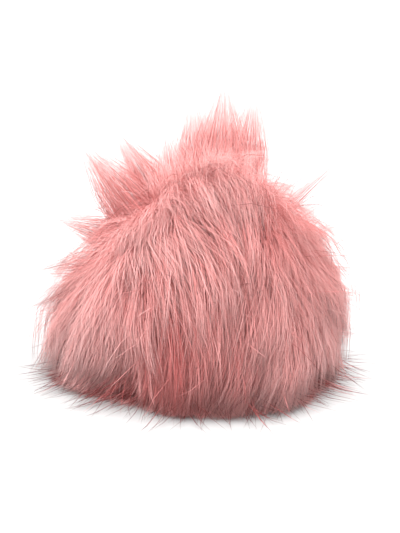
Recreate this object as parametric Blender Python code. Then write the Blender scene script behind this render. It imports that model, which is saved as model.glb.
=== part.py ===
"""A pink faux-fur pom pom, resting on a flat surface.

The real one is a disc of long-pile faux fur, gathered round its edge and drawn
shut over a little stuffing, so that its pile stands out all round and hides the
knot underneath. The pile is heaviest at the base, where it has settled and
splays on the surface. It is one piece, so it is one solid: the packed pile as a
lumpy mound, with the locks of the pile rooted in it and standing apart from
each other. +Z is up, the front is -Y, and the origin is the middle of the flat
spot that the pom pom rests on.
"""

import math
import random

import bmesh
import bpy
import numpy as np
from mathutils import Vector, noise
from mathutils.bvhtree import BVHTree

# Driving dimensions, in metres unless the name says otherwise.
# The packed pile: a mound with soft lumps, which leans a little to the right.
PACKED_CENTRE = Vector((0.0, 0.0, 0.036))
PACKED_SUBDIVISIONS = 4
LUMP_HEIGHT = 0.0026
LUMP_SPACING = 0.021
LUMPS_NONE_DEGREES = -30.0
LUMPS_FULL_DEGREES = -10.0
LEAN = 0.055

# The places for locks that are combed over the mound. Each lock is tried at a random
# size, and then at the shorter ones, until it stands clear of its neighbours.
LOCK_COUNT = 320
LOCK_SIZES = (0.85, 1.2)
SHORTER_SIZES = (0.8, 0.62, 0.48)
NARROWEST_SHARE = 0.6
THICKNESS_SHARE = 0.52
LOCK_RINGS = 4
LOCK_ROOT_DEPTH = 0.0035
LOCK_GAP = 0.0004
LOWEST_ROOT_DEGREES = -25.0
HIGHEST_ROOT_DEGREES = 89.0
ROOT_JITTER_DEGREES = 2.2

# How a lock bends: the share of the comb's turn that a standing lock takes, how much
# steeper it leaves than it ends, and the height above the surface at which locks
# rest on those below them, for each degree that their roots are higher.
FOLLOW_STANDING = 0.25
BEND = 0.5
STACK_PER_DEGREE = 0.00034
STEEPEST_DROP = 0.9

# A lock's outline: a half wave that starts this far along, to this power.
TAPER_START = 0.28
TAPER_POWER = 0.7

# The locks that lie level on the surface: a ring at the rim of the mound, and a
# ring of short ones that spread from the foot beneath it.
FLOOR_COLUMNS = (
    "count",
    "root_elevation_degrees",
    "root_depth_mm",
    "length_mm",
    "width_mm",
    "thickness_mm",
)
FLOOR_RINGS = (
    (44, -35.0, 3.5, 34.0, 5.8, 2.4),
    (15, -60.0, 4.0, 24.0, 4.6, 1.6),
)
FLOOR_LOCK_RINGS = 3
FLOOR_JITTER = 0.3
FLOOR_SPLAY = 14.0
FLOOR_LENGTHS = (0.75, 1.1)
UP = Vector((0.0, 0.0, 1.0))

SEED = 7
GOLDEN_ANGLE = math.pi * (3.0 - math.sqrt(5.0))
PINK = (0.73, 0.30, 0.30, 1.0)
PILE_ROUGHNESS = 0.62

# The packed pile's profile: how far it reaches from its centre at each elevation.
# The first rows are the small foot of the gathered base, and the underside that
# stands a little clear of the surface round it.
PROFILE_COLUMNS = ("elevation_degrees", "reach_mm")
PACKED_PROFILE = (
    (-90.0, 36.2),
    (-65.0, 40.0),
    (-59.0, 38.4),
    (-47.0, 44.8),
    (-36.0, 55.5),
    (-28.0, 61.0),
    (-15.0, 58.5),
    (0.0, 54.5),
    (25.0, 50.0),
    (45.0, 48.0),
    (65.0, 49.0),
    (90.0, 51.0),
)
PROFILE = dict(zip(PROFILE_COLUMNS, np.array(PACKED_PROFILE).T))

# The footprint is uneven: how far the low pile reaches at each azimuth, as a share.
FOOTPRINT_COLUMNS = ("azimuth_degrees", "share")
FOOTPRINT_ROWS = (
    (-180.0, 1.10),
    (-155.0, 1.04),
    (-130.0, 0.88),
    (-105.0, 0.97),
    (-60.0, 1.05),
    (-20.0, 1.02),
    (60.0, 1.00),
    (120.0, 1.00),
    (180.0, 1.10),
)
FOOTPRINT = dict(zip(FOOTPRINT_COLUMNS, np.array(FOOTPRINT_ROWS).T))
FOOTPRINT_FULL_DEGREES = -10.0
FOOTPRINT_NONE_DEGREES = 30.0

# Where the packed pile swells, or sinks because the locks have drawn apart: the place,
# how far round it this reaches, and how high it is.
SWELL_COLUMNS = ("azimuth_degrees", "elevation_degrees", "spread_degrees", "height_mm")
SWELL_ROWS = (
    (-111.0, 8.0, 11.0, -8.0),
    (-109.0, -10.0, 11.0, -8.0),
    (-95.0, 24.0, 11.0, 4.0),
    (-122.0, 36.0, 12.0, 4.0),
    (-86.0, -24.0, 8.0, -7.0),
    (-67.0, -25.0, 7.0, -6.0),
    (-132.0, -24.0, 10.0, -4.0),
    (-52.0, 46.0, 10.0, -4.0),
)
SWELLS = dict(zip(SWELL_COLUMNS, np.array(SWELL_ROWS).T))

# How the pile lies. Each stroke of the comb has its place on the pom pom, how far
# round it the stroke reaches, the way it pulls the pile, and the angle at which the
# locks there rise from the packed pile, with their length and width.
STROKE_COLUMNS = (
    "azimuth_degrees",
    "elevation_degrees",
    "spread_degrees",
    "right",
    "back",
    "up",
    "rise_degrees",
    "length_mm",
    "width_mm",
)
COMB_STROKES = (
    (-68.0, 74.0, 28.0, 0.05, -0.80, -0.55, 30.0, 29.0, 5.8),
    (-125.0, 54.0, 26.0, 0.62, -0.50, -0.68, 26.0, 30.0, 5.8),
    (-128.0, 18.0, 24.0, 0.25, 0.00, -0.95, 21.0, 30.0, 5.8),
    (-90.0, 8.0, 24.0, 0.20, 0.00, -1.00, 20.0, 28.0, 5.6),
    (-58.0, 12.0, 28.0, -0.15, 0.00, -1.00, 20.0, 28.0, 5.6),
    (-62.0, -18.0, 24.0, -0.45, 0.00, -1.00, 24.0, 24.0, 5.6),
    (-155.0, -8.0, 24.0, -0.40, -0.05, -0.90, 28.0, 30.0, 6.0),
    (-160.0, 34.0, 20.0, -0.40, -0.30, -0.80, 30.0, 28.0, 6.0),
    (170.0, 2.0, 24.0, -0.50, 0.05, -0.85, 32.0, 28.0, 6.0),
    (152.0, 38.0, 20.0, -0.60, 0.25, -0.10, 34.0, 28.0, 6.4),
    (118.0, 55.0, 18.0, -0.40, 0.60, 0.25, 54.0, 28.0, 6.8),
    (62.0, 57.0, 18.0, 0.30, 0.65, 0.25, 54.0, 28.0, 6.8),
    (90.0, 38.0, 26.0, 0.05, 0.60, -0.50, 28.0, 29.0, 6.0),
    (90.0, 8.0, 32.0, 0.00, 0.15, -0.95, 25.0, 29.0, 5.8),
    (135.0, 4.0, 24.0, -0.25, 0.20, -0.90, 26.0, 29.0, 5.8),
    (42.0, 4.0, 24.0, 0.25, 0.15, -0.90, 26.0, 28.0, 5.8),
    (20.0, 42.0, 22.0, 0.55, 0.20, -0.45, 28.0, 26.0, 6.0),
    (0.0, 8.0, 24.0, 0.40, 0.05, -0.85, 28.0, 26.0, 5.8),
    (0.0, -22.0, 26.0, 0.40, 0.00, -0.90, 28.0, 25.0, 5.8),
    (95.0, -22.0, 34.0, 0.00, 0.40, -0.90, 27.0, 26.0, 5.8),
)
COMB = dict(zip(STROKE_COLUMNS, np.array(COMB_STROKES).T))
STROKE_PULLS = np.linalg.norm((COMB["right"], COMB["back"], COMB["up"]), axis=0)
for column in ("right", "back", "up"):
    COMB[column] = COMB[column] / STROKE_PULLS
LEAST_WEIGHT = 0.002

# Where strokes pull against each other the pile parts and stands up: fully where this
# share of their pull is left, and not at all where this one is.
PARTED_RISE_DEGREES = 42.0
PARTED_FULL = 0.4
PARTED_NONE = 0.9

# The tufts that stand up at the outline, as the front shows it. Their angles run round
# the outline from the right, over the top, and their reach is from the centre.
TUFT_COLUMNS = ("root_angle_degrees", "tip_angle_degrees", "reach_mm", "width_mm")
RIM_TUFTS = (
    (131.0, 129.0, 84.0, 10.0),
    (117.0, 118.0, 80.0, 9.5),
    (105.0, 103.0, 72.0, 8.0),
    (94.0, 91.0, 84.0, 9.5),
    (82.0, 83.0, 85.0, 9.0),
    (71.0, 74.0, 88.0, 9.5),
    (55.0, 53.0, 65.0, 8.0),
    (42.0, 38.0, 65.0, 8.0),
    (29.0, 27.0, 66.0, 8.0),
    (6.0, 0.0, 68.0, 7.0),
    (-13.0, -13.0, 67.0, 7.0),
    (144.0, 152.0, 74.0, 8.0),
    (157.0, 171.0, 72.0, 8.0),
    (170.0, 184.0, 78.0, 8.0),
)
TUFT_THICKNESS_SHARE = 0.8
TUFT_BEND = 0.45
OUTLINE_TILT_DEGREES = 15.5


def empty_scene():
    """Removes whatever the file opened with."""
    for thing in list(bpy.data.objects):
        bpy.data.objects.remove(thing, do_unlink=True)


def fur_material():
    """Acrylic faux fur: a soft pink, matt in the mass."""
    made = bpy.data.materials.new("pink_faux_fur")
    made.use_nodes = True
    shader = made.node_tree.nodes["Principled BSDF"]
    shader.inputs["Base Color"].default_value = PINK
    shader.inputs["Roughness"].default_value = PILE_ROUGHNESS
    shader.inputs["Metallic"].default_value = 0.0
    return made


def direction(azimuth_degrees, elevation_degrees):
    """The unit vector that points that way from the centre."""
    azimuth, elevation = math.radians(azimuth_degrees), math.radians(elevation_degrees)
    flat = math.cos(elevation)
    return Vector((flat * math.cos(azimuth), flat * math.sin(azimuth), math.sin(elevation)))


def blend(place, places, values):
    """The value at this place, on straight lines between the given ones."""
    return float(np.interp(place, places, values))


def nearness(way, places):
    """How near this way each row of the table is: 1 at its place, and soon nothing past its spread."""
    azimuths = np.radians(places["azimuth_degrees"])
    elevations = np.radians(places["elevation_degrees"])
    flats = np.cos(elevations)
    rows = (flats * np.cos(azimuths), flats * np.sin(azimuths), np.sin(elevations))
    closeness = sum(along * own for along, own in zip(rows, way))
    away = np.degrees(np.arccos(np.clip(closeness, -1.0, 1.0))) / places["spread_degrees"]
    return np.exp(-(away**2))


def packed_reach(way):
    """How far the packed pile reaches from its centre, with its lumps and its uneven footprint."""
    elevation = math.degrees(math.asin(max(-1.0, min(1.0, way.z))))
    azimuth = math.degrees(math.atan2(way.y, way.x))
    reach = blend(elevation, PROFILE["elevation_degrees"], PROFILE["reach_mm"]) / 1000.0
    share = blend(azimuth, FOOTPRINT["azimuth_degrees"], FOOTPRINT["share"])
    low = blend(elevation, (FOOTPRINT_FULL_DEGREES, FOOTPRINT_NONE_DEGREES), (1.0, 0.0))
    lumpy = blend(elevation, (LUMPS_NONE_DEGREES, LUMPS_FULL_DEGREES), (0.0, 1.0))
    lump = LUMP_HEIGHT * lumpy * noise.noise(way * (reach / LUMP_SPACING))
    sideways = math.hypot(way.x, way.y)
    swell = float(nearness(way, SWELLS) @ SWELLS["height_mm"]) / 1000.0 * lumpy
    return reach * (1.0 + (share - 1.0) * low * sideways) + lump + swell


def combed(way):
    """How the pile lies at this place: its direction, and the means of the strokes near it.

    Where the strokes part, or pull straight out, the pile stands up.
    """
    weights = nearness(way, COMB) + LEAST_WEIGHT
    weights /= weights.sum()
    mean = {name: float(weights @ column) for name, column in COMB.items()}
    pull = Vector((mean["right"], mean["back"], mean["up"]))
    flat = pull - way * pull.dot(way)
    parted = blend(flat.length, (PARTED_FULL, PARTED_NONE), (1.0, 0.0))
    mean["rise_degrees"] += (PARTED_RISE_DEGREES - mean["rise_degrees"]) * parted
    return flat.normalized(), mean


def lock_path(root, size, underside):
    """Points along a lock, from just inside the packed pile to its tip.

    A lock that lies down follows the comb as it goes; one that stands stays straighter.
    """
    way = root.normalized()
    here = PACKED_CENTRE + way * (packed_reach(way) - LOCK_ROOT_DEPTH)
    _, comb = combed(way)
    step = (comb["length_mm"] / 1000.0 * size + LOCK_ROOT_DEPTH) / LOCK_RINGS
    points, heading = [here], None
    for ring in range(LOCK_RINGS):
        way = (here - PACKED_CENTRE).normalized()
        along, comb = combed(way)
        rise = math.radians(comb["rise_degrees"])
        follow = FOLLOW_STANDING + (1.0 - FOLLOW_STANDING) * math.cos(rise) ** 2
        rise *= 1.0 + BEND * (0.5 - ring / (LOCK_RINGS - 1))
        turned = math.cos(rise) * along + math.sin(rise) * way
        heading = turned if heading is None else heading.lerp(turned, follow).normalized()
        here = here + step * heading
        if here.z < underside:
            here = slid_out(points[-1], underside, step)
        points.append(here)
    return points


def slid_out(previous, height, step):
    """Where a lock goes on when it meets what it lies on: outwards, and level."""
    outwards = Vector((previous.x, previous.y, 0.0)).normalized()
    drop = max(-step * STEEPEST_DROP, min(0.0, height - previous.z))
    run = math.sqrt(max(step * step - drop * drop, 0.0))
    return Vector((previous.x, previous.y, previous.z + drop)) + outwards * run


def above_floor(point):
    """The point, or the one on the surface straight above it."""
    return Vector((point.x, point.y, max(point.z, 0.0)))


def lock_mesh(points, outwards, width, thickness):
    """A three-sided lock along these points: flat below, ridged above, drawn to a point."""
    made = bmesh.new()
    rings = []
    for index, point in enumerate(points[:-1]):
        along = (points[index + 1] - points[max(index - 1, 0)]).normalized()
        over = (outwards - along * outwards.dot(along)).normalized()
        across = along.cross(over)
        share = index / (len(points) - 1)
        full = math.sin(math.pi * (TAPER_START + (1.0 - TAPER_START) * share)) ** TAPER_POWER
        half, high = width / 2.0 * full, thickness * full
        corners = (
            point - across * half,
            point + across * half,
            point + over * high,
        )
        rings.append([made.verts.new(above_floor(corner)) for corner in corners])
    tip = made.verts.new(points[-1])
    made.faces.new(reversed(rings[0]))
    for lower, upper in zip(rings, rings[1:]):
        for side in range(3):
            after = (side + 1) % 3
            made.faces.new((lower[side], lower[after], upper[after], upper[side]))
    for side in range(3):
        made.faces.new((rings[-1][side], rings[-1][(side + 1) % 3], tip))
    bmesh.ops.recalc_face_normals(made, faces=made.faces)
    bmesh.ops.triangulate(made, faces=made.faces)
    return made


def clear_of(tree, placed, middle, reach):
    """Whether this lock touches none of those already placed."""
    for other, other_middle, other_reach in placed:
        near = (middle - other_middle).length < reach + other_reach
        if near and tree.overlap(other):
            return False
    return True


def crosses_itself(lock, tree):
    """Whether faces of the lock that share no corner meet, as where it bends too sharply."""
    lock.faces.ensure_lookup_table()
    for one, other in tree.overlap(tree):
        if one < other and not set(lock.faces[one].verts) & set(lock.faces[other].verts):
            return True
    return False


def place_lock(points, outwards, width, thickness, placed, locks):
    """Adds the lock if it is sound and stands clear of the others, and says whether it did."""
    swollen = lock_mesh(points, outwards, width + 2 * LOCK_GAP, thickness + 2 * LOCK_GAP)
    tree = BVHTree.FromBMesh(swollen)
    middle = sum(points, Vector()) / len(points)
    reach = max((point - middle).length for point in points) + width
    sound = not crosses_itself(swollen, tree)
    swollen.free()
    if not sound or not clear_of(tree, placed, middle, reach):
        return False
    placed.append((tree, middle, reach))
    locks.append(lock_mesh(points, outwards, width, thickness))
    return True


def floor_locks(placed, locks):
    """The locks that lie level on the surface, at the rim of the mound and under it."""
    for row in FLOOR_RINGS:
        ring = dict(zip(FLOOR_COLUMNS, row))
        for index in range(ring["count"]):
            turn = index + FLOOR_JITTER * random.uniform(-1.0, 1.0)
            azimuth = 360.0 * turn / ring["count"]
            outwards = direction(azimuth + random.uniform(-FLOOR_SPLAY, FLOOR_SPLAY), 0.0)
            way = direction(azimuth, ring["root_elevation_degrees"])
            depth = ring["root_depth_mm"] / 1000.0
            root = PACKED_CENTRE + way * (packed_reach(way) - depth)
            length = ring["length_mm"] / 1000.0 * random.uniform(*FLOOR_LENGTHS)
            points = [root]
            for step in range(1, FLOOR_LOCK_RINGS + 1):
                share = step / FLOOR_LOCK_RINGS
                point = root + outwards * length * share
                point.z = 0.0
                points.append(point)
            width, thickness = ring["width_mm"] / 1000.0, ring["thickness_mm"] / 1000.0
            place_lock(points, UP, width, thickness, placed, locks)


def round_outline(angle_degrees):
    """The unit vector to that angle of the outline, as the front shows it."""
    angle, tilt = math.radians(angle_degrees), math.radians(OUTLINE_TILT_DEGREES)
    upwards = Vector((0.0, math.sin(tilt), math.cos(tilt)))
    return Vector((math.cos(angle), 0.0, 0.0)) + upwards * math.sin(angle)


def rim_tufts(placed, locks):
    """The tufts that stand at the outline. Each leaves the pile straight and bends to its tip."""
    for row in RIM_TUFTS:
        cut = dict(zip(TUFT_COLUMNS, row))
        way = round_outline(cut["root_angle_degrees"])
        root = PACKED_CENTRE + way * (packed_reach(way) - LOCK_ROOT_DEPTH)
        tip = PACKED_CENTRE + round_outline(cut["tip_angle_degrees"]) * cut["reach_mm"] / 1000.0
        tip.x -= LEAN * (tip.z - PACKED_CENTRE.z)
        bend = root + way * TUFT_BEND * (tip - root).length
        points = []
        for ring in range(LOCK_RINGS + 1):
            share = ring / LOCK_RINGS
            points.append(root.lerp(bend, share).lerp(bend.lerp(tip, share), share))
        width = cut["width_mm"] / 1000.0
        place_lock(points, way, width, width * TUFT_THICKNESS_SHARE, placed, locks)


def hanging_locks(placed, locks):
    """The rest of the locks, spread evenly over the packed pile and combed."""
    lowest = math.sin(math.radians(LOWEST_ROOT_DEGREES))
    for index in reversed(range(LOCK_COUNT)):
        height = 1.0 - (1.0 - lowest) * (index + 0.5) / LOCK_COUNT
        azimuth = math.degrees(index * GOLDEN_ANGLE) + random.gauss(0.0, ROOT_JITTER_DEGREES)
        elevation = math.degrees(math.asin(height)) + random.gauss(0.0, ROOT_JITTER_DEGREES)
        root = direction(azimuth, min(elevation, HIGHEST_ROOT_DEGREES))
        stack = LOCK_ROOT_DEPTH + (elevation - LOWEST_ROOT_DEGREES) * STACK_PER_DEGREE
        _, comb = combed(root)
        for size in (random.uniform(*LOCK_SIZES), *SHORTER_SIZES):
            points = lock_path(root, size, stack)
            outwards = (points[1] - PACKED_CENTRE).normalized()
            share = NARROWEST_SHARE + (1.0 - NARROWEST_SHARE) * size
            width = comb["width_mm"] / 1000.0 * share
            if place_lock(points, outwards, width, width * THICKNESS_SHARE, placed, locks):
                break


def packed_pile(name):
    """The packed pile: a lumpy mound with a small flat spot underneath."""
    bpy.ops.mesh.primitive_ico_sphere_add(subdivisions=PACKED_SUBDIVISIONS, radius=1.0)
    made = bpy.context.object
    made.name = name
    for vertex in made.data.vertices:
        way = vertex.co.normalized()
        place = PACKED_CENTRE + way * packed_reach(way)
        vertex.co = above_floor(place)
    flat = bmesh.new()
    flat.from_mesh(made.data)
    bmesh.ops.dissolve_limit(
        flat,
        angle_limit=math.radians(0.5),
        verts=flat.verts,
        edges=flat.edges,
    )
    bmesh.ops.triangulate(flat, faces=flat.faces)
    flat.to_mesh(made.data)
    flat.free()
    return made


def joined_locks(name, locks):
    """All the locks as one mesh of separate closed shapes."""
    together = bmesh.new()
    for lock in locks:
        scratch = bpy.data.meshes.new("lock")
        lock.to_mesh(scratch)
        lock.free()
        together.from_mesh(scratch)
        bpy.data.meshes.remove(scratch)
    mesh = bpy.data.meshes.new(name)
    together.to_mesh(mesh)
    together.free()
    return bpy.data.objects.new(name, mesh)


def main():
    random.seed(SEED)
    empty_scene()
    parts = bpy.data.collections.new("pom_pom")
    cutters = bpy.data.collections.new("pom_pom_locks")
    bpy.context.scene.collection.children.link(parts)
    bpy.context.scene.collection.children.link(cutters)

    placed, locks = [], []
    floor_locks(placed, locks)
    rim_tufts(placed, locks)
    hanging_locks(placed, locks)

    pile = packed_pile("pom_pom")
    for collection in list(pile.users_collection):
        collection.objects.unlink(pile)
    parts.objects.link(pile)
    pile.data.materials.append(fur_material())

    grown = joined_locks("locks", locks)
    cutters.objects.link(grown)
    grown.hide_render = True
    grown.display_type = "WIRE"

    union = pile.modifiers.new("locks rooted in the pile", "BOOLEAN")
    union.operation = "UNION"
    union.solver = "EXACT"
    union.object = grown

    for leaning in (pile, grown):
        for vertex in leaning.data.vertices:
            vertex.co.x += LEAN * vertex.co.z


main()
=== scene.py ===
"""A pink faux-fur pom pom: its gathered ball, and the long pile that stands out of it."""

import math

import bpy
import numpy as np
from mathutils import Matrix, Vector, noise


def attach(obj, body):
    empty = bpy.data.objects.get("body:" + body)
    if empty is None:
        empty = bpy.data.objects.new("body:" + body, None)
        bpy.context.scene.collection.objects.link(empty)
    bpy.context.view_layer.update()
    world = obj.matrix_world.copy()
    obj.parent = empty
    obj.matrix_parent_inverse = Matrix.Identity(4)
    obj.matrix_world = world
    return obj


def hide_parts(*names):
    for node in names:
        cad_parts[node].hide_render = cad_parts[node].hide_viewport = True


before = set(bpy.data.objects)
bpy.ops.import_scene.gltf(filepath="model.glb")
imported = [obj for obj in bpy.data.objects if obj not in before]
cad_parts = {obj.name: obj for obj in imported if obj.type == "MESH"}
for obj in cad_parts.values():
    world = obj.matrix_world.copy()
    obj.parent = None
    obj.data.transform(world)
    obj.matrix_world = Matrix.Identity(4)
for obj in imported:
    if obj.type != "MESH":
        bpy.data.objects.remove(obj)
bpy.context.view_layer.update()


# The gathered ball. A disc of fur backing is drawn shut over a little stuffing, and
# short dense underfur covers it, so that no backing shows between the long hairs.
# It is a soft mound, widest low down, that leans a little to the right.
mm = 0.001
ball_centre = np.array((0.0, 0.0, 36.0)) * mm
ball_lean = 0.055
ball_share_of_pile = 0.86
ball_radius = 50.0 * mm
ball_lump = 1.6 * mm
ball_lump_spacing = 9.0 * mm
ball_floor_gap = 1.2 * mm
underfur_tuft = 2.5 * mm
underfur_fibre = 0.5 * mm
underfur_depth = 0.3 * mm
profile_elevation = (-90.0, -65.0, -59.0, -47.0, -36.0, -28.0, -15.0, 0.0, 25.0, 45.0, 65.0, 90.0)
profile_reach_mm = (36.2, 40.0, 38.4, 44.8, 55.5, 58.0, 54.0, 50.0, 45.0, 45.5, 50.0, 54.0)
footprint_azimuth = (-180.0, -155.0, -130.0, -105.0, -60.0, -20.0, 60.0, 120.0, 180.0)
footprint_share = (1.10, 1.04, 0.88, 0.97, 1.05, 1.02, 1.00, 1.00, 1.10)
footprint_full, footprint_none = -10.0, 30.0


def packed_reach(ways):
    """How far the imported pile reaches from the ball's centre, along each unit vector."""
    elevation = np.degrees(np.arcsin(np.clip(ways[:, 2], -1.0, 1.0)))
    azimuth = np.degrees(np.arctan2(ways[:, 1], ways[:, 0]))
    reach = np.interp(elevation, profile_elevation, profile_reach_mm) * mm
    share = np.interp(azimuth, footprint_azimuth, footprint_share)
    low = np.interp(elevation, (footprint_full, footprint_none), (1.0, 0.0))
    sideways = np.hypot(ways[:, 0], ways[:, 1])
    return reach * (1.0 + (share - 1.0) * low * sideways)


def unit(vectors):
    """The same directions at length one."""
    return vectors / np.maximum(np.linalg.norm(vectors, axis=-1, keepdims=True), 1e-12)


def leaned(points):
    """The points moved to the right by the mound's lean."""
    moved = points.copy()
    moved[..., 0] += ball_lean * moved[..., 2]
    return moved


def linear(hex_colour):
    """An sRGB hex colour as the linear values that a shader takes."""
    parts = np.array([int(hex_colour[i : i + 2], 16) for i in (1, 3, 5)]) / 255.0
    curve = np.where(parts <= 0.04045, parts / 12.92, ((parts + 0.055) / 1.055) ** 2.4)
    return (*curve.tolist(), 1.0)


def add(tree, kind, links=(), **settings):
    """A node with its settings, and its links as (output, name or number of its input)."""
    node = tree.nodes.new(kind)
    for name, value in settings.items():
        if name.startswith("in_"):
            key = name[3:]
            node.inputs[int(key) if key.isdigit() else key.replace("_", " ")].default_value = value
        else:
            setattr(node, name, value)
    for output, name in links:
        tree.links.new(output, node.inputs[name])
    return node


def ramp(tree, factor, stops):
    """A colour ramp with these (place, hex colour) stops."""
    node = add(tree, "ShaderNodeValToRGB", [(factor, "Fac")])
    band = node.color_ramp
    while len(band.elements) > 1:
        band.elements.remove(band.elements[0])
    band.elements[0].position, band.elements[0].color = stops[0][0], linear(stops[0][1])
    for place, colour in stops[1:]:
        band.elements.new(place).color = linear(colour)
    return node


def underfur():
    """Short crimped acrylic underfur: matt, in tufts of the rose that the long hairs have low down.

    A real fibre is far finer than this, and is drawn as coarse as it needs to show.
    """
    made = bpy.data.materials.new("rose_acrylic_underfur")
    made.use_nodes = True
    tree = made.node_tree
    shader = tree.nodes["Principled BSDF"]
    place = add(tree, "ShaderNodeTexCoord")
    tufts = add(
        tree,
        "ShaderNodeTexNoise",
        [(place.outputs["Object"], "Vector")],
        in_Scale=1.0 / underfur_tuft,
        in_Detail=4.0,
    )
    colour = ramp(tree, tufts.outputs["Fac"], [(0.3, "#E8A8A5"), (0.7, "#F6C4C0")])
    fibres = add(
        tree,
        "ShaderNodeTexNoise",
        [(place.outputs["Object"], "Vector")],
        in_Scale=1.0 / underfur_fibre,
        in_Detail=2.0,
    )
    bump = add(
        tree,
        "ShaderNodeBump",
        [(fibres.outputs["Fac"], "Height")],
        in_Distance=underfur_depth,
        in_Strength=0.8,
    )
    tree.links.new(colour.outputs["Color"], shader.inputs["Base Color"])
    tree.links.new(bump.outputs["Normal"], shader.inputs["Normal"])
    shader.inputs["Roughness"].default_value = 0.9
    return made


bpy.ops.mesh.primitive_ico_sphere_add(subdivisions=5, radius=1.0)
ball = bpy.context.object
ball.name = "gathered_ball"
ways = unit(np.array([v.co for v in ball.data.vertices]))
lumps = np.array([noise.noise(Vector(way) * (ball_radius / ball_lump_spacing)) for way in ways])
reaches = packed_reach(ways) * ball_share_of_pile + ball_lump * lumps
points = ball_centre + ways * reaches[:, None]
points[:, 2] = np.maximum(points[:, 2], ball_floor_gap)
ball.data.vertices.foreach_set("co", leaned(points).astype(np.float32).ravel())
ball.data.shade_smooth()
ball.data.materials.append(underfur())
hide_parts("pom_pom")
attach(ball, "root")


# The long pile. Straight acrylic hairs about 55 mm long are knitted into the backing,
# and so many stand together that they gather into wisps, and the wisps into locks.
# It has been combed forwards and down over the front, and stands up at the crown.
# Each stroke of the comb: its place and how far round it counts, which way it pulls, and
# how steeply the hairs leave the mound there, how long they show and how far they arch.
comb_columns = (
    "azimuth",
    "elevation",
    "spread",
    "right",
    "back",
    "up",
    "rise",
    "length_mm",
    "arch",
)
comb_strokes = (
    (-68.0, 74.0, 28.0, 0.05, -0.80, -0.55, 42.0, 31.0, 1.0),
    (-125.0, 54.0, 26.0, 0.80, -0.45, -0.58, 38.0, 33.0, 1.0),
    (-112.0, 30.0, 14.0, 0.52, 0.00, -0.85, 30.0, 33.0, 0.6),
    (-128.0, 18.0, 24.0, 0.25, 0.00, -0.95, 27.0, 32.0, 0.3),
    (-90.0, 8.0, 24.0, 0.20, 0.00, -1.00, 26.0, 30.0, 0.3),
    (-58.0, 12.0, 28.0, -0.15, 0.00, -1.00, 26.0, 30.0, 0.3),
    (-62.0, -18.0, 24.0, -0.45, 0.00, -1.00, 30.0, 25.0, 0.2),
    (-155.0, -8.0, 24.0, -0.40, -0.05, -0.90, 36.0, 31.0, 0.2),
    (-148.0, 44.0, 15.0, 0.48, -0.30, -0.80, 38.0, 32.0, 0.8),
    (-174.0, 34.0, 18.0, -0.40, -0.20, -0.80, 42.0, 30.0, 0.8),
    (170.0, 2.0, 24.0, -0.50, 0.05, -0.85, 42.0, 30.0, 0.2),
    (152.0, 38.0, 20.0, -0.60, 0.25, -0.10, 48.0, 30.0, 0.4),
    (118.0, 55.0, 18.0, -0.40, 0.60, 0.25, 54.0, 30.0, 0.3),
    (62.0, 57.0, 18.0, 0.30, 0.65, 0.25, 54.0, 30.0, 0.3),
    (90.0, 38.0, 26.0, 0.05, 0.60, -0.50, 40.0, 31.0, 0.6),
    (90.0, 8.0, 32.0, 0.00, 0.15, -0.95, 34.0, 31.0, 0.3),
    (135.0, 4.0, 24.0, -0.25, 0.20, -0.90, 36.0, 31.0, 0.3),
    (42.0, 4.0, 24.0, 0.25, 0.15, -0.90, 36.0, 30.0, 0.3),
    (20.0, 42.0, 22.0, 0.55, 0.20, -0.45, 40.0, 27.0, 0.5),
    (0.0, 8.0, 24.0, 0.40, 0.05, -0.85, 38.0, 27.0, 0.3),
    (0.0, -22.0, 26.0, 0.40, 0.00, -0.90, 36.0, 26.0, 0.0),
    (95.0, -22.0, 34.0, 0.00, 0.40, -0.90, 34.0, 27.0, 0.0),
)
comb = dict(zip(comb_columns, np.array(comb_strokes).T))
comb_least_weight = 0.002
# Where strokes pull against each other the pile parts, stands up and strays more.
parted_rise = 62.0
parted_below, parted_full = 0.90, 0.40
parted_veer = 2.2
# Painted shade and painted light by height. Low on the front, round the given azimuth, the pile
# is painted deeper for the shade there. At the sides and behind it is painted paler against the
# shade under the overhang, and the foot and the top are painted a little lighter. A hollow of the
# given depth is painted one whole step deeper for its shade, and a swell as much lighter.
painted_shade_height_mm = (0.0, 25.0, 60.0, 95.0)
painted_shade_at_height = (0.05, -0.30, -0.08, 0.10)
painted_shade_azimuth, painted_shade_spread, painted_light_elsewhere = -96.0, 40.0, -1.4
painted_hollow_shade_depth = 32.0 * mm
# Where the pile swells, or sinks because its locks have drawn apart, and how far round.
swell_columns = ("azimuth", "elevation", "spread", "height_mm")
swell_rows = (
    (-111.0, 8.0, 11.0, -8.0),
    (-109.0, -10.0, 11.0, -8.0),
    (-80.0, 4.0, 8.0, -5.0),
    (-95.0, 24.0, 11.0, 4.0),
    (-122.0, 36.0, 12.0, 4.0),
    (-86.0, -24.0, 8.0, -7.0),
    (-67.0, -25.0, 7.0, -6.0),
    (-132.0, -24.0, 10.0, -4.0),
    (-52.0, 46.0, 8.0, -2.5),
    (180.0, 14.0, 26.0, -4.0),
    (-136.0, -27.0, 13.0, -5.0),
    (-102.0, -31.0, 6.0, 4.0),
    (-76.0, -31.0, 5.0, 5.0),
    (-54.0, -29.0, 7.0, 4.0),
    (-155.0, -28.0, 7.0, 4.0),
)
swells = dict(zip(swell_columns, np.array(swell_rows).T))

draw = np.random.default_rng(23)
lock_count = 350
wisps_in_lock = 10
hairs_in_wisp = 10
lock_spread = 5.2 * mm
wisp_spread = 2.0 * mm
wisp_veer, hair_veer = 9.0, 6.5
lock_layers, wisp_layers, hair_layers = (0.35, 1.0), (0.45, 1.0), (0.8, 1.1)
lock_sizes, hair_sizes = (0.85, 1.08), (0.8, 1.1)
lock_firmness = (0.1, 0.6)
wisp_firmness = 0.42
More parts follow.
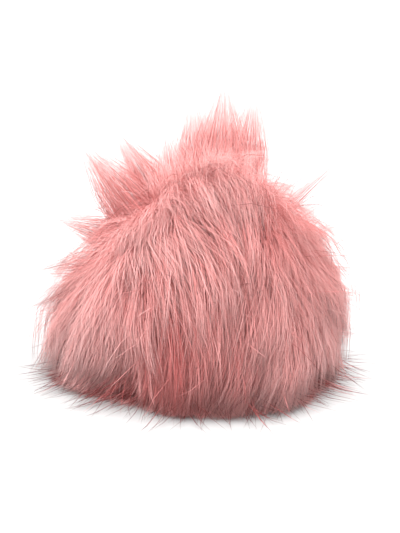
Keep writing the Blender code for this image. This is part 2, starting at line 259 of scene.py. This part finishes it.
# The elevations of the lowest roots, of the widest place, past which the pile hangs
# straight down, and of the lowest tips, where hairs that would go farther are trimmed.
lowest_root = -50.0
widest_place = -27.0
lowest_tip, tip_scatter = -37.0, 3.0
trimmed_stand = 0.2
root_depth = 0.70
travel_share = 1.75
late_turn = 0.65
arch_height = 0.35
floor_splay = 0.5
hair_taper = 0.35
dark_from = 0.71
# Below this height more hairs get dark tips, partly as painted shade near the floor.
shaded_tips_below = 14.0 * mm
hair_rings = 4
# A real hair is about 0.05 mm thick. It is drawn as coarse as it needs to show and cover.
hair_width = 0.19 * mm
map_name = "OFBake"


def from_angles(azimuth, elevation):
    """Unit vectors from angles in degrees."""
    a, e = np.radians(azimuth), np.radians(elevation)
    return np.stack((np.cos(e) * np.cos(a), np.cos(e) * np.sin(a), np.sin(e)), axis=-1)


def combed(ways):
    """How the pile lies at each place: its direction along the mound, its rise and its length,
    how far it has parted there, and how high it arches over.

    Where the strokes part, or pull straight out, the pile stands up and hides its roots.
    """
    nearness = np.clip(ways @ from_angles(comb["azimuth"], comb["elevation"]).T, -1.0, 1.0)
    away = np.degrees(np.arccos(nearness)) / comb["spread"]
    weights = np.exp(-(away**2)) + comb_least_weight
    weights /= weights.sum(axis=1, keepdims=True)
    pull = weights @ unit(np.stack((comb["right"], comb["back"], comb["up"]), axis=1))
    flat = pull - ways * (pull * ways).sum(axis=1, keepdims=True)
    agreed = np.linalg.norm(flat, axis=1)
    parted = np.interp(agreed, (parted_full, parted_below), (1.0, 0.0))
    rise = weights @ comb["rise"]
    rise += (parted_rise - rise) * parted
    length = weights @ comb["length_mm"] * mm
    return unit(flat), np.radians(rise), length, parted, weights @ comb["arch"]


def swell(ways):
    """How far the pile swells at each place, or sinks where its locks have drawn apart."""
    nearness = np.clip(ways @ from_angles(swells["azimuth"], swells["elevation"]).T, -1.0, 1.0)
    away = np.degrees(np.arccos(nearness)) / swells["spread"]
    return np.exp(-(away**2)) @ swells["height_mm"] * mm


def hanging_reach(ways):
    """How far the pile lies from the centre: past its widest place it hangs straight down."""
    lowest = math.sin(math.radians(widest_place))
    level = ways.copy()
    level[:, 2] = np.maximum(level[:, 2], lowest)
    level = unit(level)
    reach = packed_reach(level)
    out = reach * np.hypot(level[:, 0], level[:, 1])
    return np.where(ways[:, 2] < lowest, out / np.hypot(ways[:, 0], ways[:, 1]), reach)


def hair_paths(ways, layer, size, veer):
    """Points along hairs rooted at these places, (hair, point, axis), and the way across each.

    layer is how far out of the pile the tip lies, as a share of the longest locks' reach,
    and veer is the angle by which a hair strays from the way that the pile is combed.
    """
    along, rise, length, parted, arch = combed(ways)
    across = np.cross(ways, along)
    veer = veer * (1.0 + parted_veer * parted)
    ahead, aside = np.cos(veer)[:, None], np.sin(veer)[:, None]
    stand = length * np.sin(rise) * layer
    angle = length * np.cos(rise) * travel_share * size / packed_reach(ways)
    downwards = unit(ways * ways[:, 2:] - np.array((0.0, 0.0, 1.0)))
    falling = ((ahead * along + aside * across) * downwards).sum(axis=1)
    room = np.arcsin(ways[:, 2]) - np.radians(draw.normal(lowest_tip, tip_scatter, len(ways)))
    trimmed = np.minimum(np.maximum(room, 0.08) / np.maximum(falling, 0.3) / angle, 1.0)
    angle *= trimmed
    stand *= trimmed_stand + (1.0 - trimmed_stand) * trimmed
    start = packed_reach(ways) * root_depth
    bow = 1.0 + np.cos(rise) ** 2
    paths, turned = [], 0.0
    for share in np.linspace(0.0, 1.0, hair_rings + 1):
        turn = (1.0 - late_turn) * share + late_turn * share**2
        along = combed(ways)[0]
        heading = ahead * along + aside * np.cross(ways, along)
        ways = unit(ways + heading * (angle * (turn - turned))[:, None])
        turned = turn
        out = 1.0 - (1.0 - share) ** bow
        out += arch_height * arch * math.sin(math.pi * share) * (1.0 - parted)
        reach = start + (hanging_reach(ways) + swell(ways) + stand * size - start) * out
        paths.append(ball_centre + ways * reach[:, None])
    return np.stack(paths, axis=1), across


def beside(ways, spread, count):
    """count places round each of these places, spread over a disc of this radius."""
    ways = np.repeat(ways, count, axis=0)
    side = unit(np.cross(ways, np.array((0.31, 0.17, 0.93))))
    up = np.cross(ways, side)
    angle = draw.uniform(0.0, 2.0 * np.pi, len(ways))[:, None]
    far = spread * np.sqrt(draw.uniform(0.0, 1.0, len(ways)))[:, None] / (ball_radius * root_depth)
    return unit(ways + far * (np.cos(angle) * side + np.sin(angle) * up))


def gathered(paths, around, share):
    """Paths drawn towards the ones that they go with, from nothing at the root to share at the tip."""
    along = np.linspace(0.0, 1.0, paths.shape[1])[None, :, None]
    return paths + (around - paths) * share * along**1.25


def waved(paths, across, size, turns):
    """Paths with a loose wave that grows towards the tip."""
    count, points, _ = paths.shape
    share = np.linspace(0.0, 1.0, points)[None, :]
    outwards = unit(paths - ball_centre)
    waves = []
    for _ in range(2):
        start = draw.uniform(0.0, 2.0 * np.pi, (count, 1))
        tall = draw.normal(0.0, size, (count, 1))
        waves.append(tall * share * np.sin(2.0 * np.pi * turns * share + start))
    return paths + waves[0][..., None] * across[:, None, :] + waves[1][..., None] * outwards


def on_floor(paths, least):
    """Paths that would sink into the surface laid along it, splayed outwards by what they lose."""
    soft = 2.2 * mm
    height = least[:, None]
    lifted = height + soft * np.logaddexp(0.0, (paths[..., 2] - height) / soft)
    lost = np.maximum(lifted - paths[..., 2], 0.0)
    flat = paths.copy()
    flat[..., 2] = 0.0
    outwards = unit(flat)
    laid = paths + outwards * (lost * floor_splay)[..., None]
    laid[..., 2] = lifted
    return laid


def hair_mesh(name, paths, across, widths, shades):
    """One mesh of three-sided hairs, each closed and drawn to a point.

    On its map a hair's own shade runs one way and its length the other.
    """
    count, points, _ = paths.shape
    rings = points - 1
    ahead = unit(np.diff(paths, axis=1))
    tangents = unit(np.concatenate((ahead[:, :1], ahead[:, :-1] + ahead[:, 1:]), axis=1))
    side = unit(across[:, None, :] - tangents * (across[:, None, :] * tangents).sum(-1, keepdims=True))
    over = np.cross(tangents, side)
    share = np.linspace(0.0, 1.0, points)[:-1]
    radius = widths[:, None] / 2.0 * (1.0 - hair_taper * share**2)
    corners = []
    for corner in range(3):
        angle = 2.0 * np.pi * corner / 3.0
        offset = math.cos(angle) * side + math.sin(angle) * over
        corners.append(paths[:, :-1] + offset * radius[..., None])
    body = np.stack(corners, axis=2).reshape(count, rings * 3, 3)
    places = np.concatenate((body, paths[:, -1:]), axis=1).reshape(-1, 3)

    ring = np.arange(rings - 1)[:, None] * 3
    around = np.arange(3)[None, :]
    after = (around + 1) % 3
    corners = np.broadcast_arrays(ring + around, ring + after, ring + 3 + after, ring + 3 + around)
    quads = np.stack(corners, -1)
    last = (rings - 1) * 3
    tips = np.stack((last + np.arange(3), last + (np.arange(3) + 1) % 3, np.full(3, rings * 3)), -1)
    pattern = np.concatenate((np.array((2, 1, 0)), quads.reshape(-1), tips.reshape(-1)))
    sizes = np.concatenate(((3,), np.full(3 * (rings - 1), 4), np.full(3, 3)))
    per_hair = rings * 3 + 1
    loops = (pattern[None, :] + np.arange(count)[:, None] * per_hair).reshape(-1)
    totals = np.tile(sizes, count)

    mesh = bpy.data.meshes.new(name)
    mesh.vertices.add(len(places))
    mesh.vertices.foreach_set("co", places.astype(np.float32).ravel())
    mesh.loops.add(len(loops))
    mesh.loops.foreach_set("vertex_index", loops.astype(np.int32))
    mesh.polygons.add(len(totals))
    starts = np.concatenate(((0,), np.cumsum(totals)[:-1]))
    mesh.polygons.foreach_set("loop_start", starts.astype(np.int32))
    mesh.polygons.foreach_set("use_smooth", np.ones(len(totals), bool))
    mesh.update(calc_edges=True)
    mesh.validate()

    side_of = np.concatenate((np.arange(rings * 3) % 3, (1,)))
    ring_of = np.concatenate((np.arange(rings * 3) // 3, (rings,)))
    fixed = np.stack((side_of * 0.006, 0.02 + 0.96 * ring_of / rings), -1)[pattern]
    # The root's small end face takes a strip of its own, so that no face is without width.
    fixed[:3, 1] = (0.02, 0.03, 0.02)
    sheet = np.tile(fixed, (count, 1)).reshape(count, -1, 2)
    sheet[..., 0] += shades[:, None]
    layer = mesh.uv_layers.new(name=map_name)
    layer.data.foreach_set("uv", sheet.astype(np.float32).ravel())
    return bpy.data.objects.new(name, mesh)


def long_pile():
    """Straight acrylic guard hair, dyed pink: soft-looking in the mass, with a faint gleam along
    each hair, painted deeper towards the roots for the shade where the hairs crowd, and now
    and then dark at the tip."""
    made = bpy.data.materials.new("pink_acrylic_guard_hair")
    made.use_nodes = True
    tree = made.node_tree
    shader = tree.nodes["Principled BSDF"]
    place = add(tree, "ShaderNodeUVMap", uv_map=map_name)
    split = add(tree, "ShaderNodeSeparateXYZ", [(place.outputs["UV"], "Vector")])
    shade, length = split.outputs["X"], split.outputs["Y"]
    # Both ramps are painted deeper towards the root, for the shade among the crowded roots; the plain
    # one grows lighter to the tip, and the tipped one ends dark.
    plain_with_painted_root_shade = ramp(
        tree,
        length,
        [(0.0, "#E09190"), (0.3, "#E8A5A3"), (0.55, "#F0BCB9"), (0.8, "#F5CECB"), (1.0, "#F7DBD8")],
    )
    tipped = ramp(
        tree,
        length,
        [(0.0, "#E69D9C"), (0.3, "#EFADAB"), (0.50, "#DE9492"), (0.72, "#9C5655"), (1.0, "#562A2C")],
    )
    kind = add(tree, "ShaderNodeMath", [(shade, 0)], operation="GREATER_THAN", in_1=dark_from)
    both = add(
        tree,
        "ShaderNodeMix",
        [
            (kind.outputs["Value"], "Factor"),
            (plain_with_painted_root_shade.outputs["Color"], 6),
            (tipped.outputs["Color"], 7),
        ],
        data_type="RGBA",
    )
    # Each hair's shade multiplies its colour: a random tone, with the painted shade and painted light
    # that laid_pile adds. Low shades turn a deeper rose.
    tone = ramp(
        tree,
        shade,
        [(0.02, "#D08685"), (0.35, "#EFD2D1"), (0.68, "#F7FAFA"), (0.74, "#B98F8E"), (0.98, "#FFFFFF")],
    )
    dyed = add(
        tree,
        "ShaderNodeMix",
        [(both.outputs[2], 6), (tone.outputs["Color"], 7)],
        data_type="RGBA",
        blend_type="MULTIPLY",
        in_0=1.0,
    )
    rough = add(
        tree,
        "ShaderNodeMapRange",
        [(length, "Value")],
        in_3=0.75,
        in_4=0.55,
    )
    tree.links.new(dyed.outputs[2], shader.inputs["Base Color"])
    tree.links.new(rough.outputs["Result"], shader.inputs["Roughness"])
    shader.inputs["Specular IOR Level"].default_value = 0.05
    return made


def finished_hairs(name, lines, across, tone, share_dark, share_dark_and_shaded_on_floor, width):
    """Hairs laid on the floor where they reach it, each with its own shade and width.

    Shades above dark_from are for hairs with dark tips, which are commonest on the floor, where the
    dark tips are partly painted shade on the thin hairs at the foot.
    """
    count = len(lines)
    lines = leaned(on_floor(lines, draw.uniform(0.3, 1.6, count) * mm))
    level = np.clip(0.5 + tone + draw.normal(0.0, 0.08, count), 0.0, 1.0)
    floor_shade = np.clip(1.0 - lines[:, -1, 2] / shaded_tips_below, 0.0, 1.0)
    dark = draw.uniform(0.0, 1.0, count) < share_dark + (share_dark_and_shaded_on_floor - share_dark) * floor_shade
    shades = np.where(dark, 0.76 + 0.2 * level, 0.03 + 0.62 * level)
    widths = width * draw.uniform(0.75, 1.25, count)
    return hair_mesh(name, lines, across, widths, shades)


def dressed(piece):
    """The piece in guard hair, riding on the pom pom and standing for its packed pile."""
    bpy.context.scene.collection.objects.link(piece)
    piece.data.materials.append(guard_hair)
    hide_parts("pom_pom")
    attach(piece, "root")


def laid_pile(name, lock_ways, wisps, hairs):
    """The hairs of these locks as one mesh."""
    locks = len(lock_ways)
    wisp_ways = beside(lock_ways, lock_spread, wisps)
    hair_ways = beside(wisp_ways, wisp_spread, hairs)
    lock_layer = draw.uniform(*lock_layers, locks)
    lock_size = draw.uniform(*lock_sizes, locks)
    wisp_layer = np.repeat(lock_layer, wisps) * draw.uniform(*wisp_layers, locks * wisps)
    wisp_size = np.repeat(lock_size, wisps) * draw.uniform(*lock_sizes, locks * wisps)
    wisp_turn = np.radians(draw.normal(0.0, wisp_veer, locks * wisps))
    hair_layer = np.repeat(wisp_layer, hairs) * draw.uniform(*hair_layers, len(hair_ways))
    hair_size = np.repeat(wisp_size, hairs) * draw.uniform(*hair_sizes, len(hair_ways))
    hair_turn = np.repeat(wisp_turn, hairs) + np.radians(draw.normal(0.0, hair_veer, len(hair_ways)))

    lock_paths, _ = hair_paths(lock_ways, lock_layer, lock_size, np.zeros(locks))
    wisp_paths, wisp_across = hair_paths(wisp_ways, wisp_layer, wisp_size, wisp_turn)
    hair_lines, hair_across = hair_paths(hair_ways, hair_layer, hair_size, hair_turn)
    firmness = np.repeat(draw.uniform(*lock_firmness, locks), wisps)[:, None, None]
    wisp_paths = gathered(wisp_paths, np.repeat(lock_paths, wisps, axis=0), firmness)
    wisp_paths = waved(wisp_paths, wisp_across, 0.9 * mm, 0.8)
    hair_lines = gathered(hair_lines, np.repeat(wisp_paths, hairs, axis=0), wisp_firmness)
    hair_lines = waved(hair_lines, hair_across, 0.3 * mm, 1.1)
    showing = wisp_paths[:, hair_rings // 2]
    # Painted shade: hairs in hollows are made deeper and on swells lighter, and low on the front deeper
    # by height, for the way light falls there.
    tone = draw.normal(0.0, 0.08, locks * wisps) + swell(unit(showing - ball_centre)) / painted_hollow_shade_depth
    shade_at_height = np.interp(showing[:, 2] / mm, painted_shade_height_mm, painted_shade_at_height)
    off = np.degrees(np.arctan2(showing[:, 1], showing[:, 0])) - painted_shade_azimuth
    off = (off + 180.0) % 360.0 - 180.0
    shade_weight = painted_light_elsewhere + (1.0 - painted_light_elsewhere) * np.exp(-((off / painted_shade_spread) ** 2))
    tone += shade_at_height * np.where(shade_at_height < 0.0, shade_weight, 1.0)
    tone = np.repeat(tone, hairs)
    return finished_hairs(name, hair_lines, hair_across, tone, 0.02, 0.06, hair_width)


golden_angle = 180.0 * (3.0 - math.sqrt(5.0))
lowest_height = math.sin(math.radians(lowest_root))
heights = 1.0 - (1.0 - lowest_height) * np.linspace(0.0, 1.0, lock_count) ** 1.2
lock_azimuths = (np.arange(lock_count) * golden_angle + draw.normal(0.0, 2.5, lock_count)) % 360.0
lock_elevations = np.degrees(np.arcsin(heights)) + draw.normal(0.0, 1.5, lock_count)
all_locks = from_angles(lock_azimuths, lock_elevations)
guard_hair = long_pile()
sides = {"pile_right": 0.0, "pile_back": 90.0, "pile_left": 180.0, "pile_front": 270.0}
for name, middle in sides.items():
    off = (lock_azimuths - middle + 180.0) % 360.0 - 180.0
    dressed(laid_pile(name, all_locks[np.abs(off) <= 45.0], wisps_in_lock, hairs_in_wisp))


# The standing tufts. Round the mound's outline, and over its back, the pile was never
# combed down: its locks stand out and draw together to points.
tuft_columns = ("root_angle", "tip_angle", "reach_mm", "farther_mm", "spread_mm", "hairs")
rim_tufts = (
    (131.0, 129.0, 86.0, 6.0, 12.0, 640),
    (117.0, 118.0, 82.0, 14.0, 11.0, 640),
    (105.0, 103.0, 75.0, -4.0, 12.0, 480),
    (94.0, 93.0, 87.0, 8.0, 12.0, 720),
    (84.0, 84.5, 93.0, -3.0, 13.0, 860),
    (73.0, 76.0, 93.0, 13.0, 11.0, 640),
    (50.0, 45.0, 88.0, 0.0, 3.0, 40),
    (55.0, 53.0, 67.0, 5.0, 10.0, 240),
    (43.0, 38.0, 67.0, -4.0, 10.0, 240),
    (30.0, 28.0, 68.0, 6.0, 10.0, 240),
    (17.0, 10.0, 70.0, -3.0, 5.0, 80),
    (6.0, 0.0, 71.0, 5.0, 7.0, 140),
    (-13.0, -13.0, 69.0, -5.0, 7.0, 140),
    (144.0, 152.0, 75.0, 4.0, 9.0, 280),
    (157.0, 171.0, 74.0, -5.0, 10.0, 240),
    (170.0, 184.0, 80.0, 4.0, 9.0, 220),
)
tuft_hair_width = 0.17 * mm
tuft_rings = 3
view_elevation = 15.5
tilt = math.radians(view_elevation)
outline_right = np.array((1.0, 0.0, 0.0))
outline_up = np.array((0.0, math.sin(tilt), math.cos(tilt)))
outline_away = np.cross(outline_up, outline_right)


def round_outline(angle):
    """Unit vectors to the mound's outline as the camera sees it, anticlockwise from the right."""
    a = np.radians(angle)[..., None]
    return np.cos(a) * outline_right + np.sin(a) * outline_up


def rooted(ways, depth):
    """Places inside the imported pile, at this share of its reach."""
    return ball_centre + ways * (packed_reach(ways) * depth)[:, None]


def bent(starts, bends, ends, rings):
    """Points along hairs that set off towards their bends and finish at their ends."""
    t = np.linspace(0.0, 1.0, rings + 1)[None, :, None]
    return (1 - t) ** 2 * starts[:, None] + 2 * t * (1 - t) * bends[:, None] + t**2 * ends[:, None]


def tuft(root_way, tip, spread, count):
    """Hairs from round this root, drawn together towards this tip."""
    ways = beside(root_way[None, :], spread, count)
    starts = rooted(ways, root_depth)
    share = draw.uniform(0.5, 1.06, count)[:, None]
    aside = (starts - starts.mean(axis=0)) * draw.uniform(0.0, 0.5, (count, 1))
    ends = starts + (tip + aside - starts) * share
    bends = starts + ways * 0.45 * np.linalg.norm(ends - starts, axis=1, keepdims=True)
    lines = bent(starts, bends, ends, tuft_rings)
    across = unit(np.cross(ways, draw.normal(0.0, 1.0, (count, 3))))
    return waved(lines, across, 0.6 * mm, 1.2), across


tuft_lines, tuft_across = [], []
for row in rim_tufts:
    cut = dict(zip(tuft_columns, row))
    farther = outline_away * cut["farther_mm"] * mm
    root_way = unit(round_outline(np.array(cut["root_angle"])) + farther / ball_radius)
    tip_way = round_outline(np.array(cut["tip_angle"]))
    tip = leaned(ball_centre) + tip_way * cut["reach_mm"] * mm + farther
    tip[0] -= ball_lean * tip[2]
    lines, across = tuft(root_way, tip, cut["spread_mm"] * mm, cut["hairs"])
    tuft_lines.append(lines)
    tuft_across.append(across)
tuft_lines, tuft_across = np.concatenate(tuft_lines), np.concatenate(tuft_across)
tone = draw.normal(-0.1, 0.1, len(tuft_lines))
dressed(finished_hairs("standing_tufts", tuft_lines, tuft_across, tone, 0.08, 0.5, tuft_hair_width))


# The loose locks. Over the front a few longer locks have slipped across the others. They
# lie over the parting at the left of the crown, and bridge the hollow below it, where the
# pile has drawn apart.
loose_columns = ("from_azimuth", "from_elevation", "to_azimuth", "to_elevation", "height_mm", "hairs")
loose_locks = (
    (-170.0, 62.0, -140.0, 22.0, 12.0, 170),
    (-165.0, 70.0, -128.0, 26.0, 12.0, 190),
    (-150.0, 74.0, -118.0, 30.0, 13.0, 190),
    (-130.0, 78.0, -104.0, 30.0, 13.0, 170),
    (-136.0, 56.0, -92.0, 12.0, 12.0, 170),
    (-131.0, 28.0, -106.0, -25.0, 11.0, 60),
    (-137.0, 30.0, -117.0, -20.0, 11.0, 60),
    (-108.0, 38.0, -88.0, -6.0, 11.0, 120),
    (-42.0, 38.0, -74.0, -18.0, 12.0, 170),
    (-60.0, 22.0, -84.0, -33.0, 11.0, 130),
    (-48.0, 12.0, -52.0, -36.0, 10.0, 110),
)
loose_spread = 6.0 * mm


def loose_lock(cut):
    """Hairs that leave their roots together and cross the pile to where the lock ends."""
    count = cut["hairs"]
    root = from_angles(cut["from_azimuth"], cut["from_elevation"])[None, :]
    tip = from_angles(cut["to_azimuth"], cut["to_elevation"])[None, :]
    ways = beside(root, loose_spread, count)
    ends = beside(tip, loose_spread * 0.6, count)
    reach_share = draw.uniform(0.62, 1.08, count)[:, None]
    ends = unit(ways + (ends - ways) * reach_share)
    height = cut["height_mm"] * draw.uniform(0.35, 1.0, count) * mm
    paths = []
    for share in np.linspace(0.0, 1.0, hair_rings + 1):
        here = unit(ways + (ends - ways) * share)
        out = 1.0 - (1.0 - share) ** 3
        start = packed_reach(ways) * root_depth
        reach = start + (hanging_reach(here) + height - start) * out
        paths.append(ball_centre + here * reach[:, None])
    lines = np.stack(paths, axis=1)
    across = unit(np.cross(ways, ends))
    firmness = draw.uniform(*lock_firmness, count)[:, None, None]
    lines = gathered(lines, lines.mean(axis=0, keepdims=True), firmness)
    return waved(lines, across, 0.7 * mm, 0.9), across


loose = [loose_lock(dict(zip(loose_columns, row))) for row in loose_locks]
loose_lines = np.concatenate([lines for lines, _ in loose])
loose_across = np.concatenate([across for _, across in loose])
tone = draw.normal(0.05, 0.1, len(loose_lines))
dressed(finished_hairs("loose_locks", loose_lines, loose_across, tone, 0.03, 0.3, tuft_hair_width))


# The crown's loose wisps. At the top of the front, where the combed hairs part from the
# standing ones, fine wisps of both lengths cross each other and hide the parting.
crown_wisps = 300
hairs_in_crown_wisp = 8
crown_azimuth = (-175.0, -5.0)
crown_elevation = (58.0, 88.0)


def crown():
    """Wisps that stand up and fan out over the parting."""
    azimuth = draw.uniform(*crown_azimuth, crown_wisps)
    elevation = draw.uniform(*crown_elevation, crown_wisps)
    roots = from_angles(azimuth, elevation)
    ways = beside(roots, 2.5 * mm, hairs_in_crown_wisp)
    wander = draw.normal(0.0, 0.2, (crown_wisps, 3))
    going = np.repeat(unit(0.7 * roots + 0.6 * outline_up + wander), hairs_in_crown_wisp, axis=0)
    going = unit(going + draw.normal(0.0, 0.06, going.shape))
    far = np.repeat(draw.uniform(24.0, 40.0, crown_wisps), hairs_in_crown_wisp)
    far = (far * draw.uniform(0.7, 1.05, len(far)) * mm)[:, None]
    starts = rooted(ways, root_depth)
    ends = starts + going * far
    bends = starts + ways * far * 0.55
    lines = bent(starts, bends, ends, tuft_rings)
    middles = lines.reshape(crown_wisps, hairs_in_crown_wisp, tuft_rings + 1, 3).mean(axis=1)
    lines = gathered(lines, np.repeat(middles, hairs_in_crown_wisp, axis=0), 0.45)
    across = unit(np.cross(ways, going))
    return waved(lines, across, 0.7 * mm, 1.1), across


crown_lines, crown_across = crown()
tone = np.repeat(draw.normal(-0.02, 0.1, crown_wisps), hairs_in_crown_wisp)
dressed(finished_hairs("crown_wisps", crown_lines, crown_across, tone, 0.05, 0.5, tuft_hair_width))


# The fringe. Round the foot single hairs, and small bunches of them, slip out from under
# the mound and lie splayed on the surface; most of them have dark tips, and these tips and
# their deeper tone are partly real and partly painted shade.
fringe_bunches = 340
hairs_in_bunch = 3
fringe_reach = 26.0
fringe_swing = 42.0
fringe_hair_width = 0.26 * mm


def fringe():
    """Bunches of hairs that lie outwards over the floor."""
    azimuth = draw.uniform(-180.0, 180.0, fringe_bunches)
    roots = from_angles(azimuth, draw.uniform(-48.0, -22.0, fringe_bunches))
    foot = packed_reach(from_angles(azimuth, np.full(fringe_bunches, -30.0)))
    beyond = (7.0 + fringe_reach * draw.beta(1.2, 2.0, fringe_bunches)) * mm
    ways = beside(roots, 2.0 * mm, hairs_in_bunch)
    swing = np.repeat(draw.normal(0.0, fringe_swing, fringe_bunches), hairs_in_bunch)
    swing += draw.normal(0.0, 9.0, len(swing))
    heading = np.radians(np.repeat(azimuth, hairs_in_bunch) + swing)
    outwards = np.stack((np.cos(heading), np.sin(heading), np.zeros(len(heading))), axis=-1)
    starts = rooted(ways, root_depth)
    far = np.repeat(foot * 0.87 + beyond, hairs_in_bunch) + draw.normal(0.0, 2.0 * mm, len(ways))
    edge = np.hypot(starts[:, 0], starts[:, 1])
    ends = starts + outwards * (far - edge)[:, None]
    ends[:, 2] = draw.uniform(-6.0, 4.5, len(ways)) * mm
    bends = (starts + ends) / 2.0 + draw.normal(0.0, 5.0 * mm, ends.shape)
    lines = bent(starts, bends, ends, hair_rings)
    across = np.cross(outwards, np.array((0.0, 0.0, 1.0)))
    return waved(lines, across, 1.0 * mm, 0.9), across


fringe_lines, fringe_across = fringe()
# The fringe's deeper tone and its many dark tips are partly painted shade at the foot.
tone = draw.normal(-0.3, 0.15, len(fringe_lines))
dressed(finished_hairs("floor_fringe", fringe_lines, fringe_across, tone, 0.7, 0.97, fringe_hair_width))


# The stray hairs. Here and there one long hair has come loose from its lock and crosses
# the others, or sticks out well past them.
stray_count = 260
stray_length = (42.0, 62.0)
stray_root_depth = 0.8


def strays():
    """Single hairs that go their own way out of the pile."""
    azimuth = draw.uniform(-180.0, 180.0, stray_count)
    ways = from_angles(azimuth, np.degrees(np.arcsin(draw.uniform(-0.25, 1.0, stray_count))))
    along = combed(ways)[0]
    turn = np.radians(draw.normal(0.0, 45.0, stray_count))[:, None]
    heading = np.cos(turn) * along + np.sin(turn) * np.cross(ways, along)
    outward = draw.uniform(0.15, 1.0, stray_count)[:, None]
    going = unit(heading * (1.0 - outward) + ways * outward)
    starts = rooted(ways, stray_root_depth)
    far = draw.uniform(*stray_length, stray_count)[:, None] * mm
    ends = starts + going * far * (0.55 + 0.2 * outward)
    bends = starts + ways * far * 0.45
    lines = bent(starts, bends, ends, hair_rings)
    across = np.cross(ways, heading)
    return lines, across


stray_lines, stray_across = strays()
tone = draw.normal(0.0, 0.15, stray_count)
dressed(finished_hairs("stray_hairs", stray_lines, stray_across, tone, 0.15, 0.8, hair_width))


# The studio: a white surface that runs out of the picture, a broad soft light above,
# and a camera a little above the pom pom, looking down at it from the front.
def matt_white():
    """Matt white board, which the light turns pure white but for the softest shadow."""
    made = bpy.data.materials.new("matt_white_board")
    made.use_nodes = True
    tree = made.node_tree
    shader = tree.nodes["Principled BSDF"]
    shader.inputs["Base Color"].default_value = linear("#BABABA")
    shader.inputs["Roughness"].default_value = 0.8
    shader.inputs["Specular IOR Level"].default_value = 0.2
    return made


bpy.ops.mesh.primitive_plane_add(size=30.0)
floor = bpy.context.object
floor.name = "white_board"
floor.data.materials.append(matt_white())

world = bpy.data.worlds.new("white_studio")
world.use_nodes = True
sky = world.node_tree.nodes["Background"]
sky.inputs["Color"].default_value = linear("#FFFFFF")
sky.inputs["Strength"].default_value = 1.45
bpy.context.scene.world = world

overhead = bpy.data.lights.new("overhead_softbox", "SUN")
overhead.angle = math.radians(80.0)
overhead.energy = 4.5
overhead_lamp = bpy.data.objects.new("overhead_softbox", overhead)
towards_lamp = Vector((0.05, -0.32, 1.0))
overhead_lamp.rotation_euler = towards_lamp.to_track_quat("Z", "Y").to_euler()
bpy.context.scene.collection.objects.link(overhead_lamp)

camera_distance = 0.70
camera_target = Vector((0.0, 0.0, 0.050))
camera_data = bpy.data.cameras.new("camera")
camera_data.lens = 108.0
camera_data.sensor_width = 36.0
camera = bpy.data.objects.new("camera", camera_data)
back = Vector((0.0, -math.cos(tilt), math.sin(tilt)))
camera.location = camera_target + back * camera_distance
camera.rotation_euler = (-back).to_track_quat("-Z", "Y").to_euler()
bpy.context.scene.collection.objects.link(camera)
bpy.context.scene.camera = camera
bpy.context.scene.view_settings.view_transform = "Standard"
